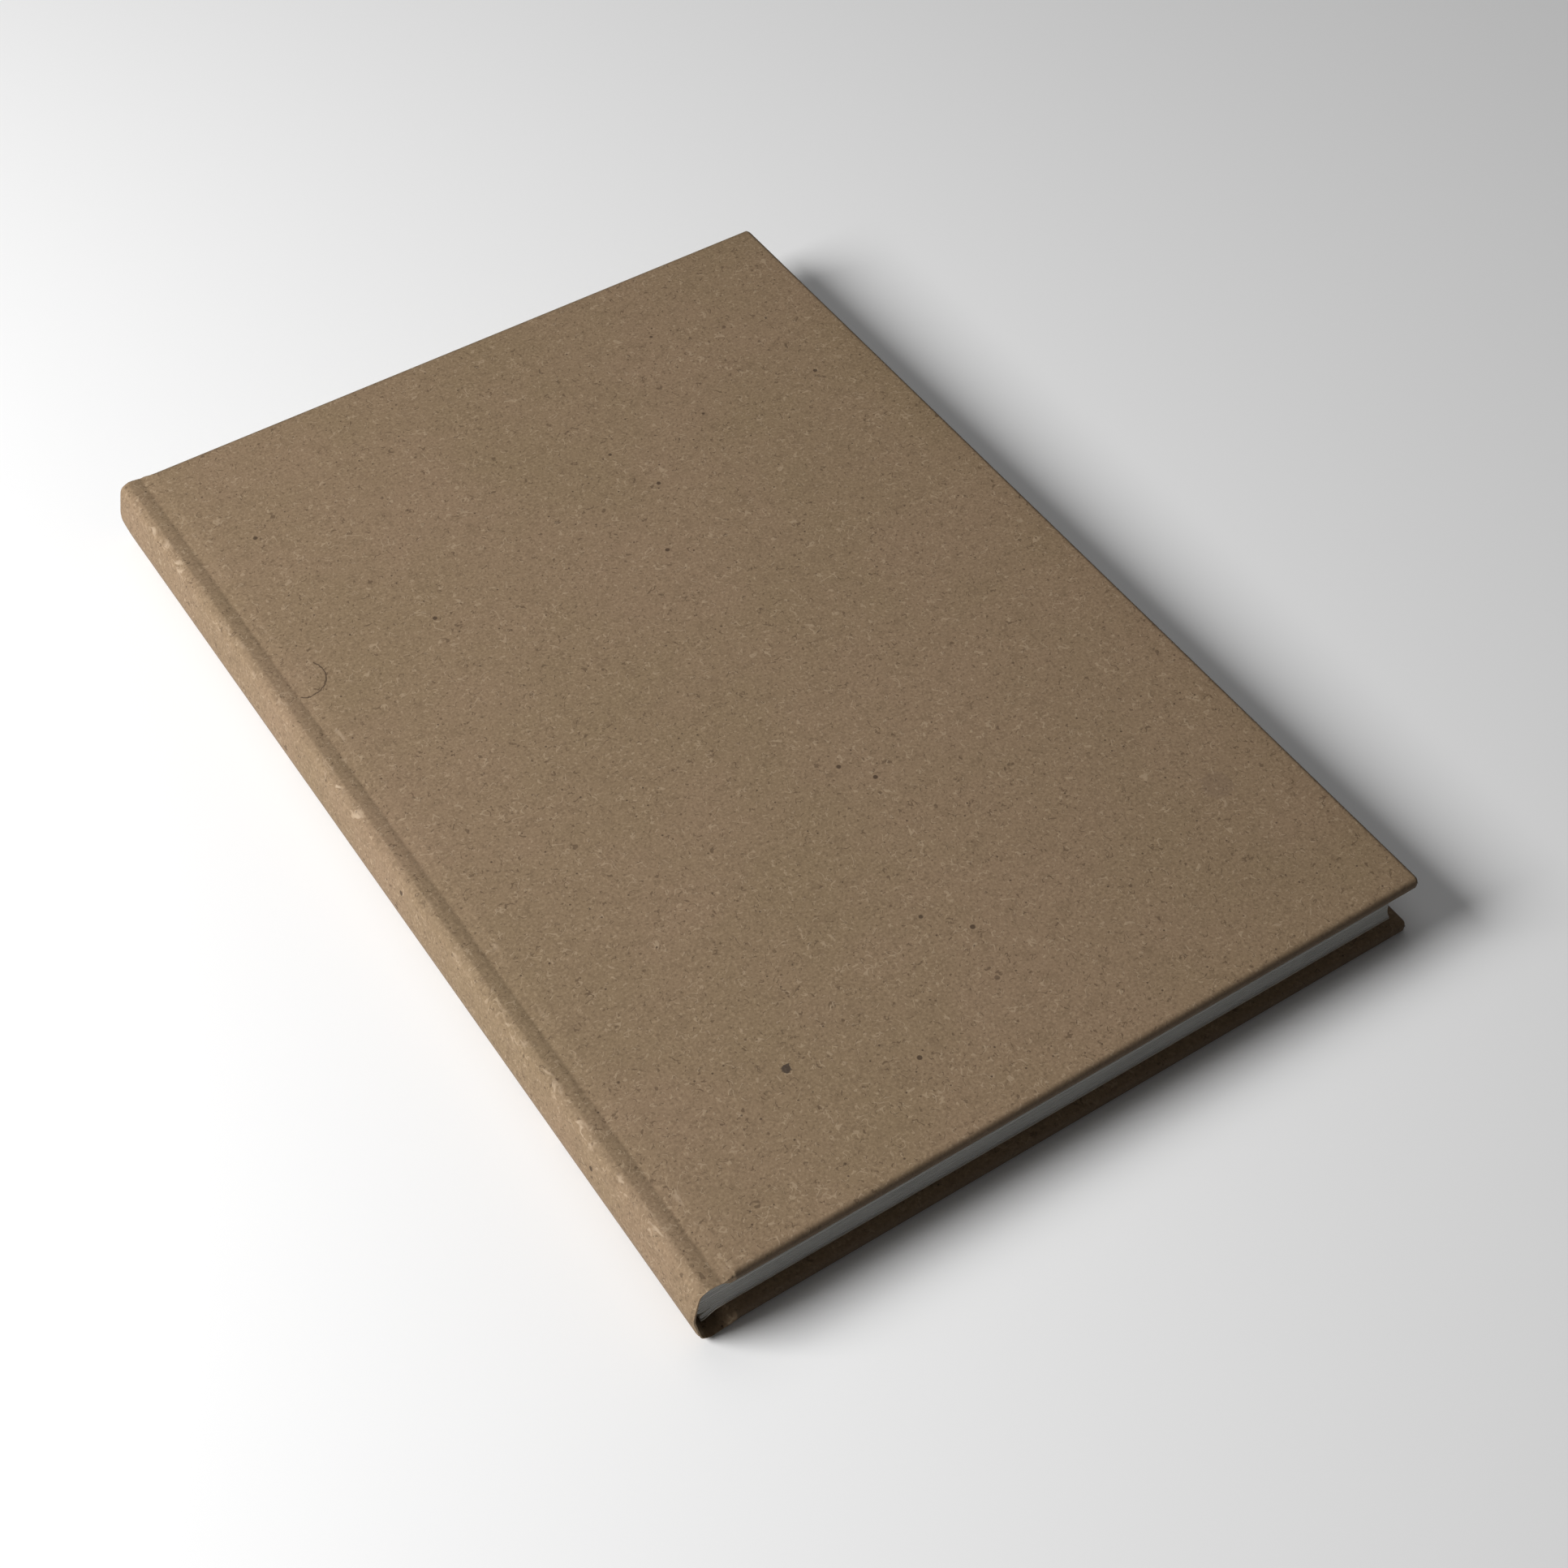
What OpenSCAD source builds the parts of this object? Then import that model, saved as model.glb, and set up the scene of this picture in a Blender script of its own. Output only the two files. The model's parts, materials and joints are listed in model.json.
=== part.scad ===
// A5 case-bound sketchbook, lying closed on its back cover.
// +X runs from the spine to the fore-edge, +Y from the tail to the head, +Z up.
// The origin is the middle of the book's footprint, on the surface it lies on.

/* [Cover] */
// Height of the covers, tail to head
cover_h = 215; // [150:1:300]
// Width of the closed book, spine to fore-edge
cover_w = 149; // [105:1:215]
// Thickness of the greyboard in each cover
board_t = 2.2; // [1.5:0.1:3]
// Thickness of the kraft paper around the boards
kraft_t = 0.15; // [0.1:0.01:0.25]
// Radius of the covers' fore-edge corners
corner_r = 1.3; // [0.6:0.1:5]
// Width of the kraft paper folded over inside the covers
turn_in = 15; // [10:1:20]

/* [Leaves] */
// Thickness of one leaf
leaf_t = 0.15; // [0.1:0.01:0.25]
// Sewn sections in the text block
section_count = 7; // [7]
// Folded sheets in each section
sheets = 4; // [2:1:6]
// How far the covers stand out past the leaves at the head and tail
end_square = 2.5; // [1:0.1:5]
// How far the covers stand out past the leaves at the fore-edge
fore_square = 2.4; // [1:0.1:5]
// How deep the hollow of the fore-edge is
fore_hollow = 1.25; // [0:0.05:2]
// Thickness of the endpapers
endpaper_t = 0.16; // [0.1:0.01:0.22]

/* [Spine] */
// How far the spine bulges past its two shoulders
spine_depth = 3; // [2:0.1:3.4]
// Depth of the groove along each cover's joint
groove_depth = 0.35; // [0:0.05:1]
// Distance from the spine's crown to the boards
board_start = 7.4; // [7:0.1:10]
// Thickness of the card inside the spine
inlay_t = 0.5; // [0.3:0.1:0.8]
// Distance from the spine's crown to the middle section's fold
fold_depth = 2.1; // [1.9:0.1:2.4]
// How much further in the outermost folds lie
back_round = 1; // [0.4:0.1:1.1]

/* [Lining] */
// How far the mull and the paper lining stop short of the leaves' head and tail
lining_margin = 5; // [2:0.5:20]
// How far the mull reaches onto each board
mull_reach = 24; // [10:1:35]
// Thread chains across the back, from section to section
stitch_rows = 6; // [4:1:8]
// Thickness of the thread
thread_t = 0.3; // [0.2:0.05:0.35]
// Distance from the head and tail of the leaves to the end chains
end_stitch = 15; // [8:1:30]

/* [Hidden] */
$fn = 48;
// Air between two sheets of one section
leaf_gap = 0.01;
// Air between two pieces that lie on each other
gap = 0.02;
cover_t = board_t + 2 * kraft_t;
section_t = 2 * sheets * (leaf_t + leaf_gap);
leaves_t = section_count * section_t + (section_count - 1) * gap;
book_t = 2 * cover_t + 4 * endpaper_t + 4 * gap + leaves_t;
mid_z = book_t / 2;
// Undersides of the front cover and of the front flyleaf
cover_z = book_t - cover_t;
flyleaf_z = cover_z - 2 * endpaper_t - gap;
// Where the rigid half of each endpaper starts
leaf_start = board_start - 0.1;
leaf_end = cover_w - fore_square;
leaf_h = cover_h - 2 * end_square;
lining_h = leaf_h - 2 * lining_margin;
// Where the sections bend, and where the endpapers' folds lie over the joints
section_hinge_x = 3.3;
endpaper_fold_x = 3;
// Where the joint's groove is deepest
groove_x = 5.8;
// Half the thickness of a section at its nose and its hinge line, where it narrows towards the sewing
nose_half = 0.09;
hinge_half = 0.18;
section_taper = 6;
// How blunt the spine's crown is, and the share of its depth that its two slopes make up
crown_blunt = 0.1;
slope_share = 0.5;
// Middle layers of the back, counted out from the folds
thread_lift = 0.06;
mull_lift = 0.42;
mull_t = 0.1;
lining_lift = 0.55;
lining_t = 0.2;
curve_steps = 24;

// Colours of the papers, boards and thread
kraft = "#86705a";
kraft_inside = "#5b4838";
greyboard = "#8d8a84";
cartridge = "#d9d5ca";
endpaper = "#d3cec2";
gauze = "#e6e1d4";
linen = "#eeeadf";

// ---- Helpers -------------------------------------------------------------

// Moves a shape drawn from the spine's crown into the book's own frame
module from_crown() {
    translate([-cover_w / 2, 0, 0]) children();
}

// Turns an outline drawn in X and Z into a bar along Y
module along_y(length) {
    rotate([90, 0, 0]) linear_extrude(length, center = true) children();
}

// The same piece on the back cover's side
module on_back_side() {
    translate([0, 0, book_t]) mirror([0, 0, 1]) children();
}

// A sheet's outline seen from above, with round corners at the fore-edge
module sheet_plan(x_start, x_end, height, r) {
    translate([x_start, -height / 2]) square([x_end - r - x_start, height]);
    translate([x_start, r - height / 2]) square([x_end - x_start, height - 2 * r]);
    for (side = [-1, 1])
        translate([x_end - r, side * (height / 2 - r)]) circle(r);
}

// Outline of a strip between two curves, each a list of points in the same order
module strip(outer, inner) {
    polygon(concat(outer, [for (i = [len(inner) - 1 : -1 : 0]) inner[i]]));
}

// Share of the spine's depth at height share s, from -1 at its lower shoulder to 1 at its upper one:
// two nearly flat slopes that meet in a blunt crown, with a chamfer at each shoulder
function slope_in(s) = (sqrt(s * s + crown_blunt * crown_blunt) - crown_blunt)
    / (sqrt(1 + crown_blunt * crown_blunt) - crown_blunt);
function spine_in(s) = slope_share * slope_in(s) + (1 - slope_share) * pow(s, 16);

// The spine's curve, at a depth under the kraft paper's outer face
function spine_curve(depth) = [
    for (i = [0 : curve_steps])
        let (s = sin(-90 + 180 * i / curve_steps))
        [depth + (spine_depth - depth) * spine_in(s), mid_z + (mid_z - depth) * s]
];

// A layer of the spine between two depths
module spine_layer(near, far, length) {
    from_crown() along_y(length) strip(spine_curve(near), spine_curve(far));
}

// Where the rounded back of the folds lies at height z
function fold_x(z) = fold_depth + back_round * pow((z - mid_z) / (leaves_t / 2), 2);

// The back's curve, lifted off the folds, between two heights
function back_curve(lift, low, high) = [
    for (i = [0 : curve_steps])
        let (z = low + (high - low) * i / curve_steps)
        [fold_x(z) - lift, z]
];

// A layer on the text block's back
module back_layer(lift, thickness, length) {
    low = mid_z - leaves_t / 2;
    high = mid_z + leaves_t / 2;
    from_crown() along_y(length)
        strip(back_curve(lift + thickness, low, high), back_curve(lift, low, high));
}

// ---- Covers --------------------------------------------------------------

module board() {
    from_crown() translate([0, 0, cover_z + kraft_t]) linear_extrude(board_t)
        sheet_plan(board_start, cover_w - kraft_t, cover_h - 2 * kraft_t, corner_r - kraft_t);
}

module front_board() {
    color(greyboard) board();
}

module back_board() {
    color(greyboard) on_back_side() board();
}

// Kraft paper over a board: its face, its three edges and the folded-in margins
module cover_paper() {
    bare_h = cover_h - 2 * turn_in;
    bare_end = cover_w - turn_in;
    mitre_w = 0.1;
    // the mitre stops short of the paper's folded edge
    mitre_stop = 1.5;
    mitre_l = (turn_in - mitre_stop) * sqrt(2);
    from_crown() difference() {
        translate([0, 0, cover_z]) linear_extrude(cover_t)
            sheet_plan(board_start, cover_w, cover_h, corner_r);
        translate([0, 0, cover_z + kraft_t]) linear_extrude(board_t)
            sheet_plan(board_start - 1, cover_w - kraft_t, cover_h - 2 * kraft_t, corner_r - kraft_t);
        translate([board_start - 1, -bare_h / 2, cover_z - 1])
            cube([bare_end - board_start + 1, bare_h, 1 + board_t / 2]);
        for (side = [-1, 1])
            translate([bare_end, side * bare_h / 2, cover_z - 1]) rotate([0, 0, side * 45])
                translate([-1, -mitre_w / 2, 0]) cube([mitre_l + 1, mitre_w, 1 + board_t / 2]);
    }
}

module front_cover_paper() {
    color(kraft) cover_paper();
}

module back_cover_paper() {
    color(kraft) on_back_side() cover_paper();
}

// Depth of the joint's groove, sinking gently from the spine and rising sharply to the board
function groove(x) = groove_depth / 2 * (1 - cos(180 * (x < groove_x
    ? (x - spine_depth) / (groove_x - spine_depth)
    : (board_start - x) / (board_start - groove_x))));

// The kraft paper between the spine and a board, which bends as the cover turns
module joint_paper() {
    reach = board_start - gap - spine_depth;
    face = [
        for (i = [0 : curve_steps])
            let (x = spine_depth + reach * i / curve_steps)
            [x, book_t - groove(x)]
    ];
    under = [for (p = face) [p[0], p[1] - kraft_t]];
    from_crown() along_y(cover_h) strip(face, under);
}

module front_joint_paper() {
    color(kraft) joint_paper();
}

module back_joint_paper() {
    color(kraft) on_back_side() joint_paper();
}

// ---- Spine ---------------------------------------------------------------

// Depths of the inlay card and of the paper folded in behind it
inlay_depth = kraft_t + gap;
fold_in_depth = inlay_depth + inlay_t + gap;

module spine_paper() {
    inner = fold_in_depth + kraft_t;
    color(kraft) {
        spine_layer(0, kraft_t, cover_h);
        for (side = [-1, 1]) {
            translate([0, side * (cover_h - kraft_t) / 2, 0]) spine_layer(0, inner, kraft_t);
            translate([0, side * (cover_h - turn_in) / 2, 0]) spine_layer(fold_in_depth, inner, turn_in);
        }
    }
}

module spine_inlay() {
    color(greyboard) spine_layer(inlay_depth, inlay_depth + inlay_t, cover_h - 2 * (kraft_t + gap));
}

module spine_lining() {
    color(kraft_inside) back_layer(lining_lift, lining_t, lining_h);
}

// Gauze round the back, over both joints and up to the boards
module mull() {
    top = cover_z + kraft_t - gap;
    low = book_t - top;
    start = leaf_start;
    color(gauze) from_crown() along_y(lining_h) polygon(concat(
        [[start, low]],
        back_curve(mull_lift + mull_t, low, top),
        [[start, top], [start, top - mull_t]],
        back_curve(mull_lift, top - mull_t, low + mull_t),
        [[start, low + mull_t]]
    ));
}

module mull_flange() {
    from_crown() translate([board_start, -lining_h / 2 + turn_in, cover_z + kraft_t - gap - mull_t])
        cube([mull_reach, lining_h - 2 * turn_in, mull_t]);
}

module front_mull_flange() {
    color(gauze) mull_flange();
}

module back_mull_flange() {
    color(gauze) on_back_side() mull_flange();
}

// Chains of thread that link each section to the next
module sewing_thread() {
    pitch = (leaf_h - 2 * end_stitch) / (stitch_rows - 1);
    color(linen) for (i = [0 : stitch_rows - 1])
        translate([0, (i - (stitch_rows - 1) / 2) * pitch, 0])
            back_layer(thread_lift, thread_t, thread_t);
}

// ---- Endpapers -----------------------------------------------------------

// The half glued to the board, sunk a little inside the folded-in margins
module pastedown() {
    rim = 1;
    sunk_start = board_start + mull_reach + rim;
    sunk_end = cover_w - turn_in - rim;
    sunk_h = cover_h - 2 * (turn_in + rim);
    sink = 0.1;
    difference() {
        from_crown() union() {
            translate([leaf_start, -leaf_h / 2, cover_z - endpaper_t])
                cube([leaf_end - leaf_start, leaf_h, endpaper_t]);
            translate([sunk_start, -sunk_h / 2, cover_z - endpaper_t / 2])
                cube([sunk_end - sunk_start, sunk_h, endpaper_t / 2 + sink]);
        }
        from_crown() translate([sunk_start + rim, rim - sunk_h / 2, cover_z - endpaper_t - 1])
            cube([sunk_end - sunk_start - 2 * rim, sunk_h - 2 * rim, 1 + sink]);
    }
}

module front_pastedown() {
    color(endpaper) pastedown();
}

module back_pastedown() {
    color(endpaper) on_back_side() pastedown();
}

// The fold between the two halves, which bends as the cover turns
module endpaper_hinge() {
    reach = leaf_start - gap - endpaper_fold_x;
    layers = 2 * endpaper_t + gap;
    from_crown() translate([endpaper_fold_x, 0, flyleaf_z]) along_y(leaf_h) difference() {
        square([reach, layers]);
        translate([endpaper_t, endpaper_t]) square([reach, gap]);
    }
}

module front_endpaper_hinge() {
    color(endpaper) endpaper_hinge();
}

module back_endpaper_hinge() {
    color(endpaper) on_back_side() endpaper_hinge();
}

// The free half, the book's first or last leaf
module flyleaf() {
    from_crown() translate([leaf_start, -leaf_h / 2, flyleaf_z])
        cube([leaf_end - leaf_start, leaf_h, endpaper_t]);
}

module front_flyleaf() {
    color(endpaper) flyleaf();
}

module back_flyleaf() {
    color(endpaper) on_back_side() flyleaf();
}

// ---- Sections ------------------------------------------------------------

// Height of the middle of section n, counted from the front cover
function section_z(n) = flyleaf_z - gap - section_t / 2 - (n - 1) * (section_t + gap);

// Half of a section's thickness, at x, for a section whose folds start at nose
function section_half(x, nose) =
    x < section_hinge_x
        ? nose_half + (hinge_half - nose_half) * (x - nose) / (section_hinge_x - nose)
        : min(section_t / 2,
            hinge_half + (section_t / 2 - hinge_half) * (x - section_hinge_x) / section_taper);

// Where the hollow fore-edge lies at height z
function fore_x(z) = leaf_end - fore_hollow * (1 - pow((z - mid_z) / (leaves_t / 2), 2));

// One folded sheet, number k from the outside: two leaves and the fold between them
module folded_sheet(n, k) {
    nose = fold_x(section_z(n));
    fold_pitch = 0.1;
    fold_out = nose + fold_pitch * k;
    fold_in = fold_out + fold_pitch - leaf_gap;
    outer_share = (sheets - k) / sheets;
    inner_share = (sheets - k - 1) / sheets;
    far = section_hinge_x + section_taper;
    outer = [for (x = [fold_out, section_hinge_x, far])
        [x, section_half(x, nose) * outer_share - leaf_gap / 2]];
    inner = [for (x = [fold_in, section_hinge_x, far])
        [x, section_half(x, nose) * inner_share + leaf_gap / 2]];
    leaf_z = outer[2][1] - leaf_t / 2;
    for_upper = fore_x(section_z(n) + leaf_z);
    for_lower = fore_x(section_z(n) - leaf_z);
    from_crown() translate([0, 0, section_z(n)]) along_y(leaf_h) polygon(concat(
        outer,
        [[for_upper, outer[2][1]], [for_upper, inner[2][1]]],
        [for (i = [2 : -1 : 0]) inner[i]],
        [for (i = [0 : 2]) [inner[i][0], -inner[i][1]]],
        [[for_lower, -inner[2][1]], [for_lower, -outer[2][1]]],
        [for (i = [2 : -1 : 0]) [outer[i][0], -outer[i][1]]]
    ));
}

module section(n) {
    color(cartridge) for (k = [0 : sheets - 1]) folded_sheet(n, k);
}

module section_1() {
    section(1);
}

module section_2() {
    section(2);
}

module section_3() {
    section(3);
}

module section_4() {
    section(4);
}

module section_5() {
    section(5);
}

module section_6() {
    section(6);
}

module section_7() {
    section(7);
}

front_board();
back_board();
front_cover_paper();
back_cover_paper();
front_joint_paper();
back_joint_paper();
spine_paper();
spine_inlay();
front_pastedown();
back_pastedown();
front_endpaper_hinge();
back_endpaper_hinge();
front_flyleaf();
back_flyleaf();
front_mull_flange();
back_mull_flange();
mull();
spine_lining();
sewing_thread();
section_1();
section_2();
section_3();
section_4();
section_5();
section_6();
section_7();
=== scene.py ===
"""Looks of the kraft-covered sketchbook: finer covers, endpapers, leaves and their materials."""
import json
import math

import bmesh
import bpy
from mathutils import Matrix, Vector, noise


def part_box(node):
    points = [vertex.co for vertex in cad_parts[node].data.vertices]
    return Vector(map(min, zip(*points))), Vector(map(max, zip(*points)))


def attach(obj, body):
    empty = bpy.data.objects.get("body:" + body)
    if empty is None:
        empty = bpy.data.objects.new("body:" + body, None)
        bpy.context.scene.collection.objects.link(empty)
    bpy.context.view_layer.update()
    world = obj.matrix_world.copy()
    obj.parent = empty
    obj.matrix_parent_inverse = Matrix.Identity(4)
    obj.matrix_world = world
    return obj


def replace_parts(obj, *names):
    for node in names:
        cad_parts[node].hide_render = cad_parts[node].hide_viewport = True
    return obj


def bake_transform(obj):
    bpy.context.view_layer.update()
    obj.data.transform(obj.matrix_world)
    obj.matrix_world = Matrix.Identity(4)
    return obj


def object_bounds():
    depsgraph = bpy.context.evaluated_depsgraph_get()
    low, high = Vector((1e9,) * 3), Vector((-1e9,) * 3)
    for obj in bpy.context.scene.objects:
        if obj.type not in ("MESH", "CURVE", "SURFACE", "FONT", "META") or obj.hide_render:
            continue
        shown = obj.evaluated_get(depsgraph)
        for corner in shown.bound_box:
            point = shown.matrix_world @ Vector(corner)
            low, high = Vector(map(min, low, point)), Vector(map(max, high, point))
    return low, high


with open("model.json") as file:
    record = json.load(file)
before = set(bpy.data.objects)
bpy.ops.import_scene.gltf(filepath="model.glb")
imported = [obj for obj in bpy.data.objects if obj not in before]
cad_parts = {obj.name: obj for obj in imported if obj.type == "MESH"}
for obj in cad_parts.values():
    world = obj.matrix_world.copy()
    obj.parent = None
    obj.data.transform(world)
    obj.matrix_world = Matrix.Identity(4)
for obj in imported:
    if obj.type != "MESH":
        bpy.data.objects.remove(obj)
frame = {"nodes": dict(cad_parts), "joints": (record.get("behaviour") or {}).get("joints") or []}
cad_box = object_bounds()

MM = 0.001
# ---- Sizes, taken from the frame -----------------------------------------
CROWN_X, TAIL_Y, _ = cad_box[0]
FORE_X, HEAD_Y, BOOK_T = cad_box[1]
COVER_H = HEAD_Y - TAIL_Y
COVER_W = FORE_X - CROWN_X
BOARD_LOW, BOARD_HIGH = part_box("front_board")
BOARD_X = BOARD_LOW[0] - CROWN_X
KRAFT_T = BOOK_T - BOARD_HIGH[2]
COVER_T = BOARD_HIGH[2] - BOARD_LOW[2] + 2 * KRAFT_T
COVER_Z = BOOK_T - COVER_T
MID_Z = BOOK_T / 2
LEAF_LOW, LEAF_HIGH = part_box("front_flyleaf")
LEAF_H = LEAF_HIGH[1] - LEAF_LOW[1]
LEAF_END = LEAF_HIGH[0] - CROWN_X
ENDPAPER_T = LEAF_HIGH[2] - LEAF_LOW[2]
SPINE_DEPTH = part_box("spine_paper")[1][0] - CROWN_X
MULL_LOW, MULL_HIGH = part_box("mull")
FLANGE_LOW, FLANGE_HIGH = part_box("front_mull_flange")
SECTIONS = sorted(n for n in frame["nodes"] if n.startswith("section_"))
BLOCK_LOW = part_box(SECTIONS[-1])[0][2]
BLOCK_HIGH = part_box(SECTIONS[0])[1][2]
HALF_BLOCK = (BLOCK_HIGH - BLOCK_LOW) / 2
HINGES = {j["name"]: Vector(j["pos_m"]) for j in frame["joints"]}

# ---- Shapes that the frame leaves open; places along X are measured from the spine's crown ----
# the covers' rounded corners, and how far their edges round in and down
CORNER_R = 1.3 * MM
EDGE_IN = 1.0 * MM
EDGE_DOWN = 1.1 * MM
BOARD_EASE = 0.9
# the covering with its folded-in margin, over the spine and over the joint
SPINE_WALL = 0.84 * MM
JOINT_WALL = 0.3 * MM
FOLD_IN_X = 5.4 * MM
# the joint's groove and the slope up over the board's edge
GROOVE_X = 5.8 * MM
GROOVE_DEPTH = 0.30 * MM
BOARD_LIP = 0.6 * MM
BOARD_SLOPE = 1.7 * MM
# how blunt the spine's crown is, and the share of its height that the card fills
CROWN_BLUNT = 0.1
CARD_SHARE = 0.86
CARD_GAP = 0.03 * MM
# the folded sheets of a section, the round of their folds and their hollow fore-edge
SHEETS = 4
FOLD_DEPTH = 2.1 * MM
FOLD_NOSE = 0.55 * MM
BACK_ROUND = 1.0 * MM
FORE_HOLLOW = 1.25 * MM
SHEET_GAP = 0.004 * MM
# the backed shoulder, from the papers' folds outwards
PAPER_X = 3.0 * MM
SHOULDER = 1.25 * MM
SHOULDER_END = 6.2 * MM
# leaves have finer steps up to here, where they bend
FINE_END = 16 * MM
# the mull on the folds
MULL_LIFT = 0.42 * MM
MULL_T = 0.1 * MM


def smooth(t):
    """Eases from 0 to 1 as t does."""
    t = min(max(t, 0.0), 1.0)
    return t * t * (3 - 2 * t)


def span(low, high, count):
    """Evenly spaced numbers from low to high."""
    return [low + (high - low) * i / count for i in range(count + 1)]


def stations(half, fine):
    """Places along Y from end to end, closer together near both ends."""
    near = [half - d * MM for d in fine]
    inner = span(-near[-1], near[-1], 44)
    return [-y for y in near[:-1]] + inner + near[-2::-1]


def wander(x, y, z, size, seed=0.0):
    """Smooth, repeatable noise from -1 to 1, with features of the given size."""
    return noise.noise(Vector((x / size + seed, y / size - seed, z / size)))


# ---- Mesh helpers ----------------------------------------------------------
def new_piece(name, verts, faces, material, sharp=35):
    """Makes a mesh object with its material and smooth shading between gentle faces."""
    mesh = bpy.data.meshes.new(name)
    mesh.from_pydata(verts, [], faces)
    bm = bmesh.new()
    bm.from_mesh(mesh)
    bmesh.ops.recalc_face_normals(bm, faces=bm.faces)
    bm.to_mesh(mesh)
    bm.free()
    mesh.shade_smooth()
    mesh.set_sharp_from_angle(angle=math.radians(sharp))
    mesh.materials.append(material)
    piece = bpy.data.objects.new(name, mesh)
    bpy.context.scene.collection.objects.link(piece)
    return piece


def sheet_faces(first, row_count, count):
    """Faces of a closed sheet that starts at vertex first, with count points on each side of a row."""
    faces = []
    ring = 2 * count
    for r in range(row_count - 1):
        for i in range(ring):
            a = first + r * ring + i
            b = first + r * ring + (i + 1) % ring
            faces.append((a, b, b + ring, a + ring))
    for start in (first, first + (row_count - 1) * ring):
        for i in range(count - 1):
            faces.append((start + i, start + i + 1, start + ring - 2 - i, start + ring - 1 - i))
    return faces


def band(name, rows, material, sharp=35):
    """A closed sheet from rows along Y, each a pair of equally long lists: outer and inner points."""
    verts = []
    for outer, inner in rows:
        verts += outer + inner[::-1]
    faces = sheet_faces(0, len(rows), len(rows[0][0]))
    return new_piece(name, verts, faces, material, sharp)


def mirrored(point, back):
    """A point of the front half, or the same point on the back cover's side."""
    x, y, z = point
    return (x, y, BOOK_T - z) if back else point


# ---- Materials ---------------------------------------------------------------
class Nodes:
    """A small helper that builds one procedural material."""

    def __init__(self, name, roughness):
        self.material = bpy.data.materials.new(name)
        self.material.use_nodes = True
        self.tree = self.material.node_tree
        self.shader = self.tree.nodes["Principled BSDF"]
        self.shader.inputs["Roughness"].default_value = roughness
        self.shader.inputs["Specular IOR Level"].default_value = 0.25
        coordinates = self.add("ShaderNodeTexCoord")
        scale = self.add("ShaderNodeMapping")
        scale.inputs["Scale"].default_value = (1 / MM, 1 / MM, 1 / MM)
        self.link(coordinates.outputs["Object"], scale.inputs["Vector"])
        self.mm = scale.outputs["Vector"]

    def add(self, kind, **settings):
        """Adds a node with its settings."""
        node = self.tree.nodes.new(kind)
        for key, value in settings.items():
            setattr(node, key, value)
        return node

    def link(self, output, socket):
        """Joins two sockets."""
        self.tree.links.new(output, socket)

    def noise(self, size, detail=3.0, distortion=0.0, stretch=None, offset=0.0):
        """Noise whose features are about size millimetres."""
        node = self.add("ShaderNodeTexNoise")
        node.inputs["Scale"].default_value = 1 / size
        node.inputs["Detail"].default_value = detail
        node.inputs["Distortion"].default_value = distortion
        place = self.add("ShaderNodeMapping")
        place.inputs["Scale"].default_value = stretch or (1, 1, 1)
        place.inputs["Location"].default_value = (offset, -offset, offset)
        self.link(self.mm, place.inputs["Vector"])
        self.link(place.outputs["Vector"], node.inputs["Vector"])
        return node.outputs["Fac"]

    def cells(self, size):
        """Distance to scattered points, and a random value for each point."""
        node = self.add("ShaderNodeTexVoronoi")
        node.inputs["Scale"].default_value = 1 / size
        self.link(self.mm, node.inputs["Vector"])
        return node.outputs["Distance"], node.outputs["Color"]

    def math(self, operation, a, b=None):
        """One sum, of numbers or sockets."""
        node = self.add("ShaderNodeMath", operation=operation)
        for socket, value in zip(node.inputs, (a, b)):
            if value is None:
                continue
            if isinstance(value, (int, float)):
                socket.default_value = value
            else:
                self.link(value, socket)
        return node.outputs[0]

    def ramp(self, value, low, high, to_low=0.0, to_high=1.0):
        """Maps low..high smoothly onto to_low..to_high."""
        node = self.add("ShaderNodeMapRange", interpolation_type="SMOOTHSTEP")
        self.link(value, node.inputs["Value"])
        node.inputs["From Min"].default_value = low
        node.inputs["From Max"].default_value = high
        node.inputs["To Min"].default_value = to_low
        node.inputs["To Max"].default_value = to_high
        return node.outputs["Result"]

    def tint(self, base, colour, amount):
        """Mixes a colour into the base by an amount."""
        node = self.add("ShaderNodeMix", data_type="RGBA")
        factor, a, b = node.inputs[0], node.inputs[6], node.inputs[7]
        if isinstance(base, tuple):
            a.default_value = (*base, 1)
        else:
            self.link(base, a)
        b.default_value = (*colour, 1)
        self.link(amount, factor)
        return node.outputs[2]

    def lines(self, size, width, density, offset):
        """Short curly fibres: contour lines of a noise, kept only in scattered patches."""
        level = self.math("SUBTRACT", self.noise(size, 1.0, 0.6, offset=offset), 0.5)
        line = self.ramp(self.math("ABSOLUTE", level), width * 0.4, width, 1.0, 0.0)
        patch = self.noise(size * 0.8, 1.0, offset=offset + 37.0)
        return self.math("MULTIPLY", line, self.ramp(patch, 1 - density, 1.04 - density))

    def front_spot(self, x, y, wobble):
        """Millimetres to a place on the front cover, x from its spine and y from its tail.

        Returns the distance, and its parts across and along the cover.
        """
        parts = self.add("ShaderNodeSeparateXYZ")
        self.link(self.mm, parts.inputs[0])
        across = self.math("SUBTRACT", parts.outputs["X"], CROWN_X / MM + x)
        along = self.math("SUBTRACT", parts.outputs["Y"], TAIL_Y / MM + y)
        # depth counts several times over, so that nothing shows on the other side
        below = self.math("MULTIPLY", self.math("SUBTRACT", BOOK_T / MM, parts.outputs["Z"]), 8.0)
        squares = self.math("ADD", self.math("POWER", across, 2.0), self.math("POWER", along, 2.0))
        flat = self.math("SQRT", self.math("ADD", squares, self.math("POWER", below, 2.0)))
        rough = self.math("MULTIPLY", self.math("SUBTRACT", self.noise(0.8, 3.0), 0.5), wobble)
        return self.math("ADD", flat, rough), across, along

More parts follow.
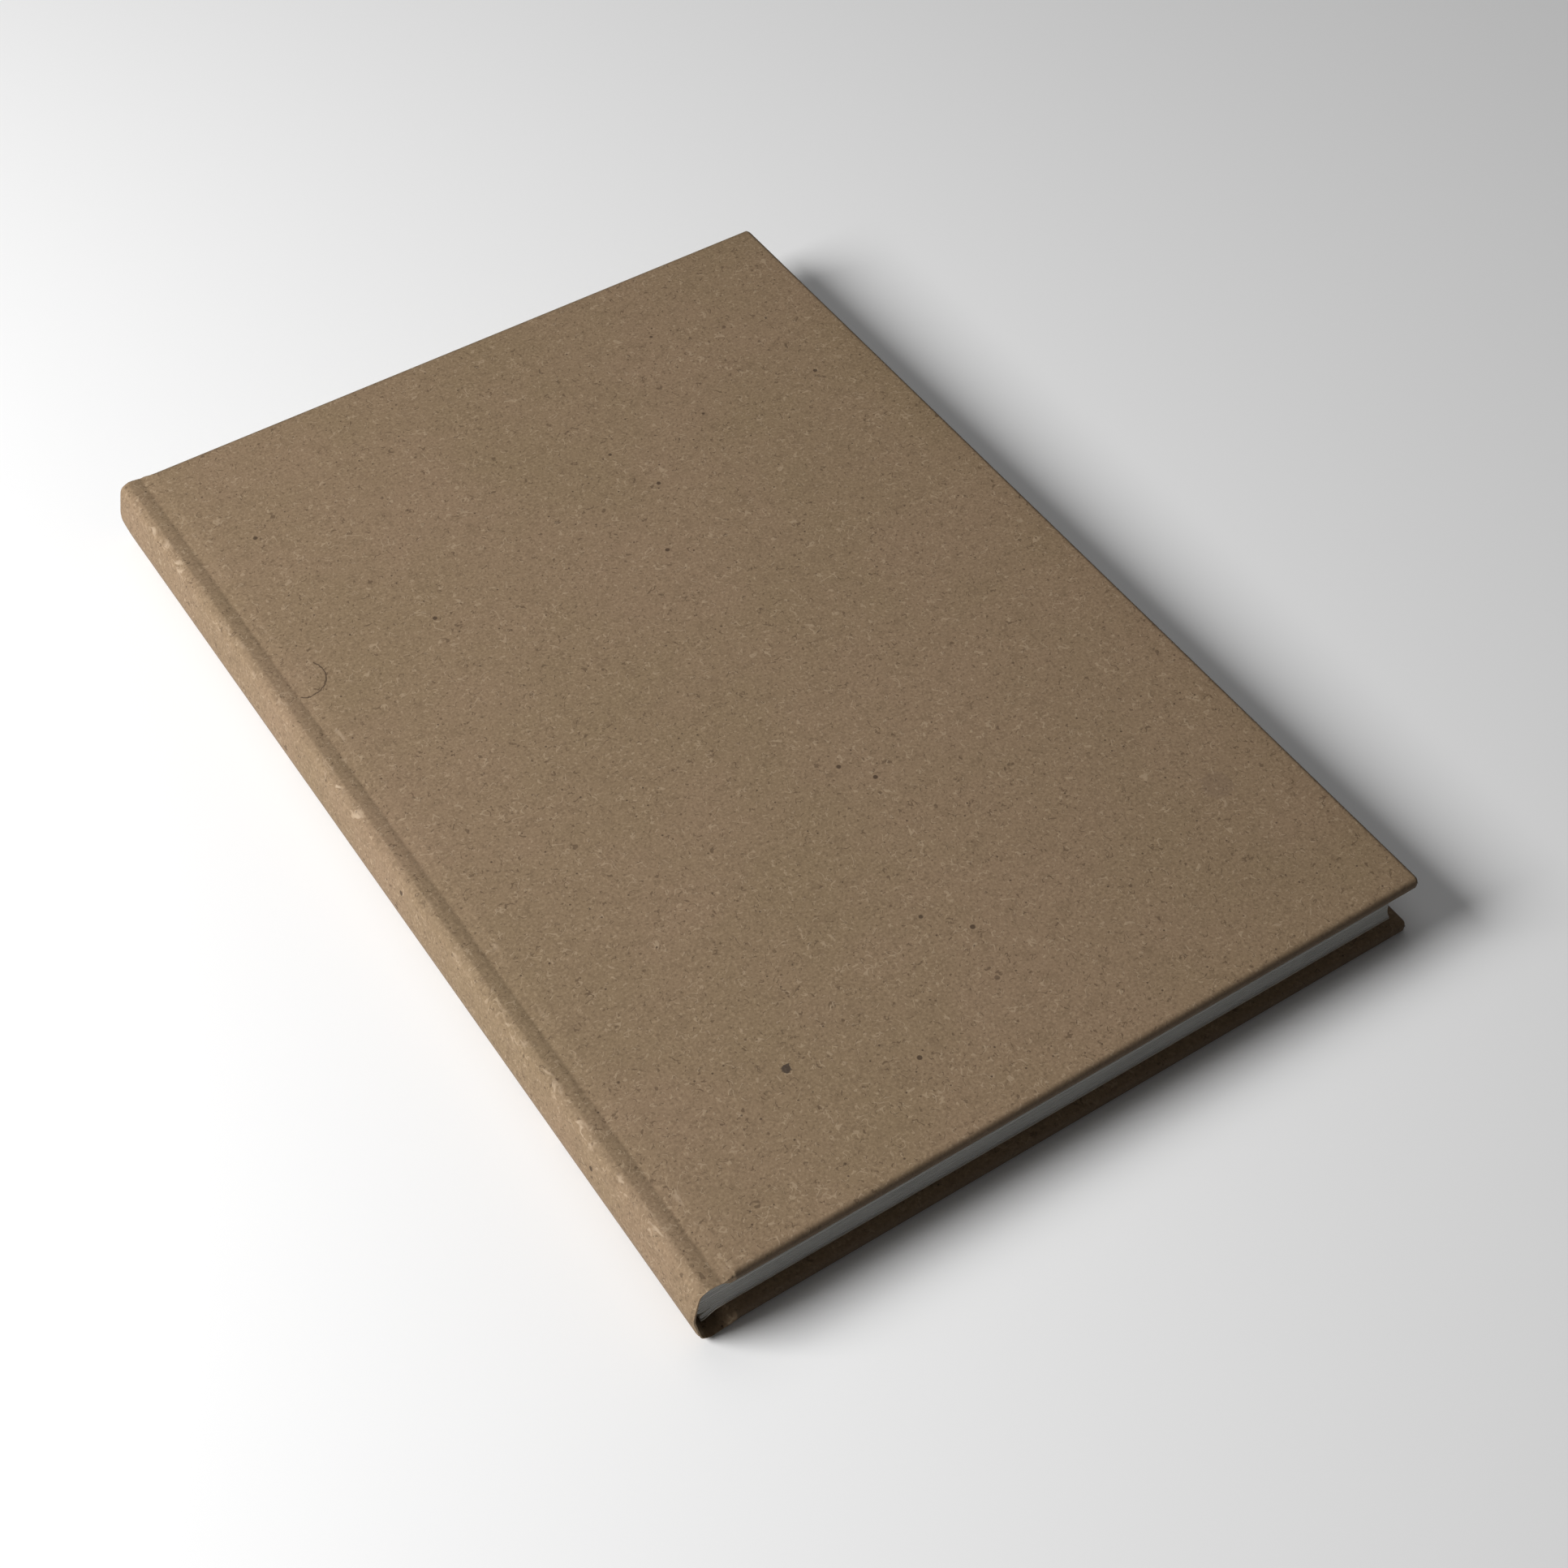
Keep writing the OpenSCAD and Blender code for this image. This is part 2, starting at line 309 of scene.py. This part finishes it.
    def bump(self, height, distance, strength):
        """Relief, distance deep in metres."""
        node = self.add("ShaderNodeBump")
        node.inputs["Distance"].default_value = distance
        node.inputs["Strength"].default_value = strength
        self.link(height, node.inputs["Height"])
        self.link(node.outputs["Normal"], self.shader.inputs["Normal"])

    def attribute(self, name):
        """A value stored on the mesh's points."""
        return self.add("ShaderNodeAttribute", attribute_name=name).outputs["Fac"]

    def finish(self, colour):
        """Gives the shader its colour and returns the material."""
        self.link(colour, self.shader.inputs["Base Color"])
        return self.material


def kraft_fibres(n, colour):
    """Curly dark and pale fibres in the kraft, two lengths of each, and the relief they give."""
    dark = n.math("MAXIMUM", n.lines(2.2, 0.026, 0.40, 3.0), n.lines(1.3, 0.036, 0.38, 19.0))
    light = n.math("MAXIMUM", n.lines(2.6, 0.026, 0.42, 51.0), n.lines(1.5, 0.036, 0.40, 83.0))
    colour = n.tint(colour, (0.090, 0.056, 0.032), n.math("MULTIPLY", dark, 0.64))
    colour = n.tint(colour, (0.400, 0.300, 0.200), n.math("MULTIPLY", light, 0.48))
    return colour, n.math("MULTIPLY", n.math("SUBTRACT", light, dark), 0.35)


def kraft_specks(n, colour):
    """Small dark specks, and a few larger flecks."""
    distance, chance = n.cells(2.6)
    speck = n.math("MULTIPLY", n.ramp(distance, 0.05, 0.10, 1.0, 0.0), n.ramp(chance, 0.45, 0.50))
    colour = n.tint(colour, (0.045, 0.026, 0.016), n.math("MULTIPLY", speck, 0.75))
    distance, chance = n.cells(9.0)
    fleck = n.math("MULTIPLY", n.ramp(distance, 0.045, 0.065, 1.0, 0.0), n.ramp(chance, 0.50, 0.55))
    return n.tint(colour, (0.045, 0.026, 0.015), n.math("MULTIPLY", fleck, 0.8))


def front_marks(n, colour):
    """One large fleck, a faint round stain and a curled hair on the front cover."""
    fleck = n.front_spot(35.5, 27.5, 1.6)[0]
    colour = n.tint(colour, (0.040, 0.028, 0.022), n.ramp(fleck, 0.75, 0.95, 0.85, 0.0))
    stain = n.front_spot(133, 36, 2.0)[0]
    colour = n.tint(colour, (0.150, 0.100, 0.070), n.ramp(stain, 2.6, 3.4, 0.28, 0.0))
    # the hair is an arc: a thin ring, kept on one side of a slanting line
    radius = 4.75
    ring, across, along = n.front_spot(7.9, 148.6, 0.7)
    hair = n.ramp(n.math("ABSOLUTE", n.math("SUBTRACT", ring, radius)), 0.09, 0.20, 0.80, 0.0)
    part = n.math("SUBTRACT", across, n.math("MULTIPLY", along, 0.9))
    return n.tint(colour, (0.055, 0.033, 0.020), n.math("MULTIPLY", hair, n.ramp(part, 1.4, 1.8)))


def kraft_wear_and_edge_shade(n, colour):
    """Pale rubbed patches where the wear attribute is high, and a painted shade that darkens the covers'
    edges.
    """
    patches = n.ramp(n.noise(9.0, 2.0, offset=71.0), 0.46, 0.62)
    wrinkles = n.ramp(n.noise(1.3, 4.0, 0.8, (1.0, 0.45, 1.0), 61.0), 0.50, 0.66)
    rubbed = n.math("MULTIPLY", n.attribute("wear"), n.math("MULTIPLY", patches, wrinkles))
    colour = n.tint(colour, (0.430, 0.325, 0.225), n.math("MULTIPLY", rubbed, 0.85))
    # painted shade: the covers' edges darken towards the very edge, in place of the shade on their end
    # faces
    painted_edge_shade = n.math("POWER", n.ramp(n.attribute("edge_mm"), 0.0, 1.8, 1.0, 0.0), 2.0)
    return n.tint(colour, (0.070, 0.046, 0.027), n.math("MULTIPLY", painted_edge_shade, 0.75))


def kraft_material():
    """Uncoated brown kraft with cloudy pulp, curly fibres, specks, rubbed edges and a painted shade along
    the covers' edges.
    """
    n = Nodes("kraft", 0.78)
    clouds = n.noise(26, 4.0)
    pulp = n.noise(2.2, 5.0, 0.3, offset=11.0)
    grain = n.noise(0.55, 4.0, 0.5, offset=5.0)
    colour = n.tint((0.231, 0.162, 0.094), (0.248, 0.169, 0.104), n.ramp(clouds, 0.30, 0.70))
    colour = n.tint(colour, (0.178, 0.120, 0.070), n.ramp(pulp, 0.45, 0.80, 0.0, 0.60))
    colour = n.tint(colour, (0.335, 0.243, 0.152), n.ramp(grain, 0.50, 0.72, 0.0, 0.55))
    colour = n.tint(colour, (0.130, 0.086, 0.050), n.ramp(grain, 0.50, 0.28, 0.0, 0.48))
    colour, fibre_relief = kraft_fibres(n, colour)
    colour = kraft_specks(n, colour)
    colour = front_marks(n, colour)
    colour = kraft_wear_and_edge_shade(n, colour)
    relief = n.math("ADD", grain, fibre_relief)
    n.bump(n.math("ADD", relief, n.math("MULTIPLY", pulp, 1.2)), 0.00005, 0.8)
    return n.finish(colour)


def paper_material(name, base, shade):
    """Cartridge paper: a soft tooth, faint clouds and a few pale fibres."""
    n = Nodes(name, 0.85)
    tooth = n.noise(0.30, 5.0)
    clouds = n.noise(14, 3.0, 0.2, offset=7.0)
    colour = n.tint(base, shade, n.ramp(clouds, 0.35, 0.70, 0.0, 0.6))
    colour = n.tint(colour, shade, n.ramp(tooth, 0.50, 0.80, 0.0, 0.7))
    fibre = n.lines(1.8, 0.010, 0.36, 23.0)
    colour = n.tint(colour, tuple(c * 0.62 for c in base), n.math("MULTIPLY", fibre, 0.30))
    n.bump(n.math("ADD", tooth, n.math("MULTIPLY", fibre, 0.3)), 0.00004, 0.7)
    return n.finish(colour)


def board_material():
    """Greyboard: pressed waste paper with dark and pale flecks."""
    n = Nodes("greyboard", 0.9)
    pulp = n.noise(0.9, 6.0, 0.5)
    colour = n.tint((0.205, 0.195, 0.175), (0.300, 0.285, 0.255), n.ramp(pulp, 0.35, 0.65))
    distance, chance = n.cells(1.1)
    fleck = n.math("MULTIPLY", n.ramp(distance, 0.10, 0.24, 1.0, 0.0), n.ramp(chance, 0.55, 0.70))
    colour = n.tint(colour, (0.090, 0.085, 0.080), n.math("MULTIPLY", fleck, 0.7))
    n.bump(pulp, 0.00008, 0.8)
    return n.finish(colour)


def gauze_material():
    """Mull: an open plain weave stiffened with size."""
    n = Nodes("mull_gauze", 0.9)
    weave = []
    for direction in ("X", "Y"):
        wave = n.add("ShaderNodeTexWave", wave_type="BANDS", bands_direction=direction)
        wave.inputs["Scale"].default_value = 0.36
        wave.inputs["Distortion"].default_value = 0.6
        n.link(n.mm, wave.inputs["Vector"])
        weave.append(wave.outputs["Fac"])
    threads = n.math("MAXIMUM", weave[0], weave[1])
    colour = n.tint((0.42, 0.37, 0.28), (0.76, 0.71, 0.60), n.ramp(threads, 0.45, 0.80))
    n.bump(threads, 0.0001, 0.9)
    return n.finish(colour)


def thread_material():
    """Waxed linen thread with a fine twist."""
    n = Nodes("linen_thread", 0.6)
    twist = n.add("ShaderNodeTexWave", wave_type="BANDS", bands_direction="DIAGONAL")
    twist.inputs["Scale"].default_value = 1.1
    twist.inputs["Distortion"].default_value = 0.8
    n.link(n.mm, twist.inputs["Vector"])
    colour = n.tint((0.60, 0.55, 0.44), (0.86, 0.82, 0.72), twist.outputs["Fac"])
    n.bump(twist.outputs["Fac"], 0.00006, 0.9)
    return n.finish(colour)


def lining_material():
    """Thin brown lining paper, brushed with glue."""
    n = Nodes("lining_paper", 0.65)
    clouds = n.noise(4.0, 5.0, 0.6)
    colour = n.tint((0.100, 0.062, 0.038), (0.165, 0.108, 0.068), n.ramp(clouds, 0.35, 0.65))
    n.bump(n.noise(0.5, 4.0), 0.00006, 0.7)
    return n.finish(colour)


def leaf_edge_material():
    """The cut edges of the leaves: a painted shade, much greyer and darker than the leaves' own paper, with
    the sheets just showing as fine lines.
    """
    n = Nodes("leaf_edges", 0.9)
    sheets = n.noise(0.5, 3.0, 0.0, (0.05, 0.05, 3.0), 13.0)
    # painted shade: the edges' grey stands in for the shade on the leaves' white cut edges
    colour = n.tint((0.300, 0.295, 0.280), (0.390, 0.382, 0.362), n.ramp(sheets, 0.35, 0.65))
    n.bump(sheets, 0.00003, 0.8)
    return n.finish(colour)


KRAFT = kraft_material()
SHADED_LEAF_EDGES = leaf_edge_material()
LEAVES = paper_material("cartridge_paper", (0.66, 0.635, 0.575), (0.58, 0.555, 0.49))
ENDPAPER = paper_material("endpaper", (0.62, 0.592, 0.522), (0.54, 0.512, 0.44))
GREYBOARD = board_material()
GAUZE = gauze_material()
THREAD = thread_material()
LINING = lining_material()


# ---- The case: kraft paper over spine, joints and boards ---------------------------
def spine_in(s):
    """Share of the spine's depth at height share s: two slopes from a blunt crown, then chamfers."""
    slope = math.sqrt(s * s + CROWN_BLUNT ** 2) - CROWN_BLUNT
    return 0.5 * slope / (math.sqrt(1 + CROWN_BLUNT ** 2) - CROWN_BLUNT) + 0.5 * s ** 16


def groove(x):
    """Depth of the joint's groove: steeper and steeper from the spine, then up over the board's edge."""
    if x < GROOVE_X:
        return GROOVE_DEPTH * max(0.0, (x - SPINE_DEPTH) / (GROOVE_X - SPINE_DEPTH)) ** 2.3
    rise = min((x - GROOVE_X) / (BOARD_X + BOARD_SLOPE - GROOVE_X), 1.0)
    return GROOVE_DEPTH * (1 - rise) ** 1.3


def rounding(distance):
    """How far a cover's rounded edge lies below its face, at a distance from its end."""
    return EDGE_DOWN * (1 - math.sqrt(1 - max(0.0, 1 - distance / EDGE_IN) ** 2))


def onto_board(x):
    """Share of the board's rounded end that shows at x: none over the joint, all past the board's edge."""
    return smooth((x - BOARD_X + 1.2 * MM) / (3.0 * MM))


def spine_points(y, ease):
    """Pairs of outer and inner points round half the spine, from its crown to its shoulder."""
    pairs = []
    depth = min(ease, 0.3 * SPINE_WALL)
    wall = SPINE_WALL - depth
    for i in range(15):
        s = math.sin(math.radians(90 * i / 14))
        sag = 0.05 * MM * wander(0, y, s * MID_Z, 9 * MM, 4.0)
        outer_x = sag * (1 - s) + depth + (SPINE_DEPTH - depth) * spine_in(s)
        inner_x = wall + (SPINE_DEPTH - wall) * spine_in(s)
        # the wall thins to the joint's single paper at the shoulder
        inner_z = MID_Z + (MID_Z - wall + (wall - JOINT_WALL) * s ** 8) * s
        pairs.append(((outer_x, MID_Z + (MID_Z - depth) * s), (inner_x, inner_z)))
    return pairs


def joint_points(y, ease):
    """Pairs over the joint, where the folded-in paper slopes down to the board's inner face."""
    pairs = []
    depth = min(ease, 0.35 * JOINT_WALL)
    for x in span(SPINE_DEPTH, BOARD_X + BOARD_LIP, 18)[1:]:
        crease = 0.05 * MM * wander(x * 3, y, 0, 7 * MM, 9.0) * smooth((x - SPINE_DEPTH) / MM)
        top = BOOK_T - groove(x) + min(crease, 0.0) - max(depth, ease * onto_board(x))
        thin = BOOK_T - groove(x) - JOINT_WALL + depth
        drop = smooth((x - FOLD_IN_X) / (BOARD_X - FOLD_IN_X))
        pairs.append(((x, top), (min(x, BOARD_X), thin + (COVER_Z + ease - thin) * drop)))
    return pairs


def board_points(fore, ease):
    """Pairs over the board, from its lip to its rounded fore-edge."""
    pairs = []
    flat_end = fore - EDGE_IN
    near = [BOARD_X + BOARD_LIP + (BOARD_SLOPE - BOARD_LIP) * t for t in span(0, 1, 8)[1:]]
    for x in near + span(near[-1], flat_end, 22)[1:]:
        share = (x - BOARD_X) / (flat_end - BOARD_X)
        top = BOOK_T - max(ease * onto_board(x), groove(x))
        pairs.append(((x, top), (x - BOARD_LIP * (1 - share), COVER_Z + ease)))
    for i in range(1, 9):
        a = math.radians(90 * i / 8)
        tip = flat_end + EDGE_IN * math.sin(a)
        fall = max(ease, EDGE_DOWN * (1 - math.cos(a)))
        pairs.append(((tip, BOOK_T - fall), (tip, COVER_Z + fall)))
    return pairs


def case_row(y, back):
    """Outer and inner points of half the case at one place along Y, from crown to fore-edge."""
    to_end = COVER_H / 2 - abs(y)
    ease = rounding(to_end)
    fore = COVER_W
    if to_end < CORNER_R:
        fore -= CORNER_R - math.sqrt(max(0.0, CORNER_R ** 2 - (CORNER_R - to_end) ** 2))
    pairs = spine_points(y, ease) + joint_points(y, ease) + board_points(fore, ease)
    outer = [mirrored((CROWN_X + x, y, z), back) for (x, z), _ in pairs]
    inner = [mirrored((CROWN_X + x, y, z), back) for _, (x, z) in pairs]
    return outer, inner


def add_wear_and_shade_distance(piece):
    """Marks how rubbed each point is, most along the spine's shoulders, and how far from an edge, which
    places the painted edge shade.
    """
    wear = piece.data.attributes.new("wear", "FLOAT", "POINT")
    edge_mm = piece.data.attributes.new("edge_mm", "FLOAT", "POINT")
    for vertex, rub, gap in zip(piece.data.vertices, wear.data, edge_mm.data):
        x = vertex.co.x - CROWN_X
        to_end = COVER_H / 2 - abs(vertex.co.y)
        to_face = min(vertex.co.z, BOOK_T - vertex.co.z)
        shoulder = 0.0
        if x < BOARD_X:
            shoulder = math.exp(-(((x - 1.9 * MM) / (1.1 * MM)) ** 2)) * (1 if to_face < 1.6 * MM else 0.3)
        ridge = 0.55 * math.exp(-(((x - BOARD_X - 0.5 * MM) / (0.5 * MM)) ** 2))
        end = 0.3 * math.exp(-to_end / (0.35 * MM))
        fore = 0.3 * math.exp(-(COVER_W - x) / (0.35 * MM))
        rub.value = min(1.0, max(shoulder, ridge, end, fore))
        # for the painted edge shade, the joint and the spine count as far from the cover's edges
        gap.value = min(to_end, COVER_W - x) / MM + 3 * max(0.0, (BOARD_X - x) / MM + 1)


def half_case(name, back):
    """Half of the case's covering, over the spine, the joint and the board."""
    near_end = (0, 0.03, 0.1, 0.22, 0.4, 0.65, 1.0, 1.5, 3, 6)
    rows = [case_row(y, back) for y in stations(COVER_H / 2, near_end)]
    piece = band(name, rows, KRAFT, 50)
    add_wear_and_shade_distance(piece)
    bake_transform(piece)
    return piece


front_case = half_case("front_case_covering", False)
back_case = half_case("back_case_covering", True)
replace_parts(front_case, "front_cover_paper", "front_joint_paper", "spine_paper")
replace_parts(back_case, "back_cover_paper", "back_joint_paper")


def board_piece(name, body, back):
    """The greyboard inside a cover, its edges pressed round under the paper."""
    half_h = COVER_H / 2 - 2 * KRAFT_T
    fore = COVER_W - 2 * KRAFT_T
    rows = []
    for y in stations(half_h, (0, 0.1, 0.3, 0.6, 1.0, 1.6, 4)):
        outer = []
        inner = []
        for x in span(BOARD_X + 0.1 * MM, fore, 60):
            dip = BOARD_EASE * max(rounding(half_h - abs(y)), rounding(fore - x))
            outer.append(mirrored((CROWN_X + x, y, BOARD_HIGH[2] - max(dip, groove(x))), back))
            inner.append(mirrored((CROWN_X + x, y, BOARD_LOW[2] + dip), back))
        rows.append((outer, inner))
    piece = band(name, rows, GREYBOARD, 50)
    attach(piece, body)
    return piece


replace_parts(board_piece("front_greyboard", "front_cover", False), "front_board")
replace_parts(board_piece("back_greyboard", "back_cover", True), "back_board")


def card_layer(y, depth):
    """The spine's curve at a depth under its outside, along the share of its height that the card fills."""
    points = []
    for s in span(-CARD_SHARE, CARD_SHARE, 24):
        x = CROWN_X + depth + (SPINE_DEPTH - depth) * spine_in(s)
        points.append((x, y, MID_Z + (MID_Z - depth) * s))
    return points


def inlay_piece():
    """The card inside the spine, a little shorter than the covering's fold."""
    near = KRAFT_T + CARD_GAP
    far = SPINE_WALL - KRAFT_T - CARD_GAP
    half_h = COVER_H / 2 - 0.8 * MM
    rows = [(card_layer(y, near), card_layer(y, far)) for y in span(-half_h, half_h, 30)]
    piece = band("spine_card", rows, GREYBOARD, 50)
    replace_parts(piece, "spine_inlay")
    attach(piece, "text_block")


inlay_piece()


# ---- Endpapers, mull and leaves ----------------------------------------------------
def lift(x, share):
    """How far the backed shoulder pushes paper outwards near the folds."""
    return SHOULDER * share * (1 - smooth((x - PAPER_X) / (SHOULDER_END - PAPER_X)))


def sheet_rows(xs, low, high, share, height, back):
    """Rows of a thin flat sheet between two heights, lifted by its share of the shoulder."""
    rows = []
    for t in (-1, -0.998, -0.96, -0.7, -0.35, 0, 0.35, 0.7, 0.96, 0.998, 1):
        y = height / 2 * t
        upper = [mirrored((CROWN_X + x, y, high + lift(x, share)), back) for x in xs]
        lower = [mirrored((CROWN_X + x, y, low + lift(x, share)), back) for x in xs]
        rows.append((upper, lower))
    return rows


def pasted_half(name, back):
    """The endpaper's glued half, from the fold over the joint to the board."""
    xs = span(PAPER_X, BOARD_X, 30) + span(BOARD_X, LEAF_END, 14)[1:]
    rows = sheet_rows(xs, COVER_Z - ENDPAPER_T, COVER_Z, 0.9, LEAF_H, back)
    piece = band(name, rows, ENDPAPER)
    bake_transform(piece)
    return piece


front_pasted = pasted_half("front_pasted_endpaper", False)
back_pasted = pasted_half("back_pasted_endpaper", True)
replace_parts(front_pasted, "front_pastedown", "front_endpaper_hinge")
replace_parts(back_pasted, "back_pastedown", "back_endpaper_hinge")


def free_half(name, back):
    """The endpaper's free half, tipped to the first or last section near its fold."""
    xs = span(4.2 * MM, FINE_END, 22) + span(FINE_END, LEAF_END - 0.1 * MM, 20)[1:]
    low = LEAF_LOW[2]
    piece = band(name, sheet_rows(xs, low, low + ENDPAPER_T, 0.85, LEAF_H, back), ENDPAPER)
    return piece


front_free = free_half("front_free_endpaper", False)
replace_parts(front_free, "front_flyleaf")
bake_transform(front_free)
back_free = free_half("back_free_endpaper", True)
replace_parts(back_free, "back_flyleaf")
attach(back_free, "text_block")


def fold_x(z):
    """Where the rounded back of the folds lies at height z."""
    return FOLD_DEPTH + BACK_ROUND * ((z - MID_Z) / HALF_BLOCK) ** 2


def fore_x(z):
    """Where the hollow fore-edge lies at height z."""
    return LEAF_END - FORE_HOLLOW * (1 - ((z - MID_Z) / HALF_BLOCK) ** 2)


def folded_sheet(middle, share, k):
    """Outer and inner outline of folded sheet k of a section, in x and z: two leaves round their fold."""
    pitch = 2 * HALF_BLOCK / len(SECTIONS) / (2 * SHEETS)
    far = (SHEETS - k) * pitch - SHEET_GAP
    near = (SHEETS - k - 1) * pitch + SHEET_GAP
    tip = fold_x(middle) + 0.12 * MM * k

    def half(x, full):
        """Half thickness, closing round the fold."""
        t = min(max((x - tip) / FOLD_NOSE, 0.0), 1.0)
        return full * math.sqrt(t * (2 - t)) if t < 1 else full

    bend = [tip + FOLD_NOSE * (1 - math.cos(math.radians(90 * i / 6))) for i in range(7)]
    path = bend + span(bend[-1], FINE_END, 22)[1:] + span(FINE_END, LEAF_END - 2 * MM, 16)[1:]
    ends = {1: fore_x(middle + (far + near) / 2), -1: fore_x(middle - (far + near) / 2)}
    outer = []
    inner = []
    for side in (1, -1):
        points = path + [ends[side]]
        for x in points if side == -1 else points[::-1]:
            centre = middle + lift(x, share)
            outer.append((x, centre + side * half(x, far)))
            inner.append((max(x, tip + 0.1 * MM), centre + side * half(x - 0.1 * MM, near)))
    return outer, inner


def cut_edges(piece):
    """Gives the head, tail and fore-edge faces the look of cut paper, with a painted shade that darkens
    them.
    """
    piece.data.materials.append(SHADED_LEAF_EDGES)
    for face in piece.data.polygons:
        if abs(face.normal.y) > 0.7 or (face.normal.x > 0.7 and face.center.x > 0):
            face.material_index = 1


def section_piece(node, index):
    """One sewn section: nested folded sheets, with edges cut not quite level."""
    low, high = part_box(node)
    middle = (low[2] + high[2]) / 2
    share = ((middle - MID_Z) / HALF_BLOCK) ** 3
    verts = []
    faces = []
    for k in range(SHEETS):
        outer, inner = folded_sheet(middle, share, k)
        uneven = 0.03 * MM * math.sin(7.0 * index + 2.3 * k)
        half_h = LEAF_H / 2 - 0.04 * MM + uneven
        ys = [-half_h, -half_h * 0.6, 0, half_h * 0.6, half_h]
        faces += sheet_faces(len(verts), len(ys), len(outer))
        for y in ys:
            verts += [(CROWN_X + x, y, z) for x, z in outer + inner[::-1]]
    piece = new_piece(node + "_sheets", verts, faces, LEAVES)
    cut_edges(piece)
    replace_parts(piece, node)
    return piece


for index, node in enumerate(SECTIONS):
    leaves = section_piece(node, index)
    turn = HINGES.get(node + "_turn")
    if turn is None:
        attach(leaves, "text_block")
    else:
        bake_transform(leaves)


def mull_strip(name, back):
    """The mull's flap over one joint and onto the board."""
    xs = span(PAPER_X, BOARD_X, 30) + [FLANGE_HIGH[0] - CROWN_X]
    height = FLANGE_HIGH[1] - FLANGE_LOW[1]
    rows = sheet_rows(xs, FLANGE_LOW[2], FLANGE_HIGH[2], 0.95, height, back)
    piece = band(name, rows, GAUZE)
    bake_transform(piece)
    return piece


front_flap = mull_strip("front_mull_flap", False)
back_flap = mull_strip("back_mull_flap", True)
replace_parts(front_flap, "front_mull_flange")
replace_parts(back_flap, "back_mull_flange")


def mull_back():
    """The mull glued over the folds."""
    rows = []
    for y in span(MULL_LOW[1], MULL_HIGH[1], 24):
        outer = []
        inner = []
        for z in span(BLOCK_LOW, BLOCK_HIGH, 24):
            ripple = 0.015 * MM * wander(0, y, z, 3 * MM, 2.0)
            x = CROWN_X + fold_x(z) - MULL_LIFT + ripple
            outer.append((x - MULL_T, y, z))
            inner.append((x, y, z))
        rows.append((outer, inner))
    piece = band("mull_on_back", rows, GAUZE)
    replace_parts(piece, "mull")
    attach(piece, "text_block")


mull_back()

# the lining and the thread keep the shapes they have in the frame
for node, material in (("spine_lining", LINING), ("sewing_thread", THREAD)):
    mesh = frame["nodes"][node].data
    mesh.materials.clear()
    mesh.materials.append(material)


# ---- Studio ------------------------------------------------------------------------
def floor():
    """A plain pale floor."""
    n = Nodes("studio_floor", 0.9)
    colour = n.tint((0.86, 0.86, 0.86), (0.84, 0.84, 0.84), n.noise(400, 2.0))
    bpy.ops.mesh.primitive_plane_add(size=6, location=(0, 0, -0.00005))
    plane = bpy.context.object
    plane.name = "floor"
    plane.data.materials.append(n.finish(colour))


def area_light(name, place, size, power):
    """A soft square light that points at the book."""
    data = bpy.data.lights.new(name, "AREA")
    data.size = size
    data.energy = power
    lamp = bpy.data.objects.new(name, data)
    lamp.location = place
    # the book lies at the origin
    lamp.rotation_euler = (-Vector(place)).to_track_quat("-Z", "Y").to_euler()
    bpy.context.scene.collection.objects.link(lamp)


def studio():
    """Soft light from the spine's side and behind, with a weak even fill."""
    floor()
    area_light("key", (-0.62, 0.15, 0.50), 0.4, 8.4)
    area_light("top", (0.00, 0.60, 1.30), 1.0, 2.6)
    world = bpy.data.worlds.new("studio")
    world.use_nodes = True
    sky = world.node_tree.nodes["Background"]
    sky.inputs["Color"].default_value = (1, 1, 1, 1)
    sky.inputs["Strength"].default_value = 0.09
    bpy.context.scene.world = world
    bpy.context.scene.view_settings.view_transform = "Standard"


def camera():
    """Looks down on the book over its tail and spine."""
    azimuth = math.radians(33.312)
    pitch = math.radians(49.78)
    data = bpy.data.cameras.new("camera")
    data.sensor_width = 36
    data.lens = 60.24
    eye = bpy.data.objects.new("camera", data)
    eye.location = (-0.1717, -0.2813, 0.3719)
    ahead = Vector((
        math.sin(azimuth) * math.cos(pitch),
        math.cos(azimuth) * math.cos(pitch),
        -math.sin(pitch),
    ))
    eye.rotation_euler = ahead.to_track_quat("-Z", "Y").to_euler()
    bpy.context.scene.collection.objects.link(eye)
    bpy.context.scene.camera = eye


studio()
camera()
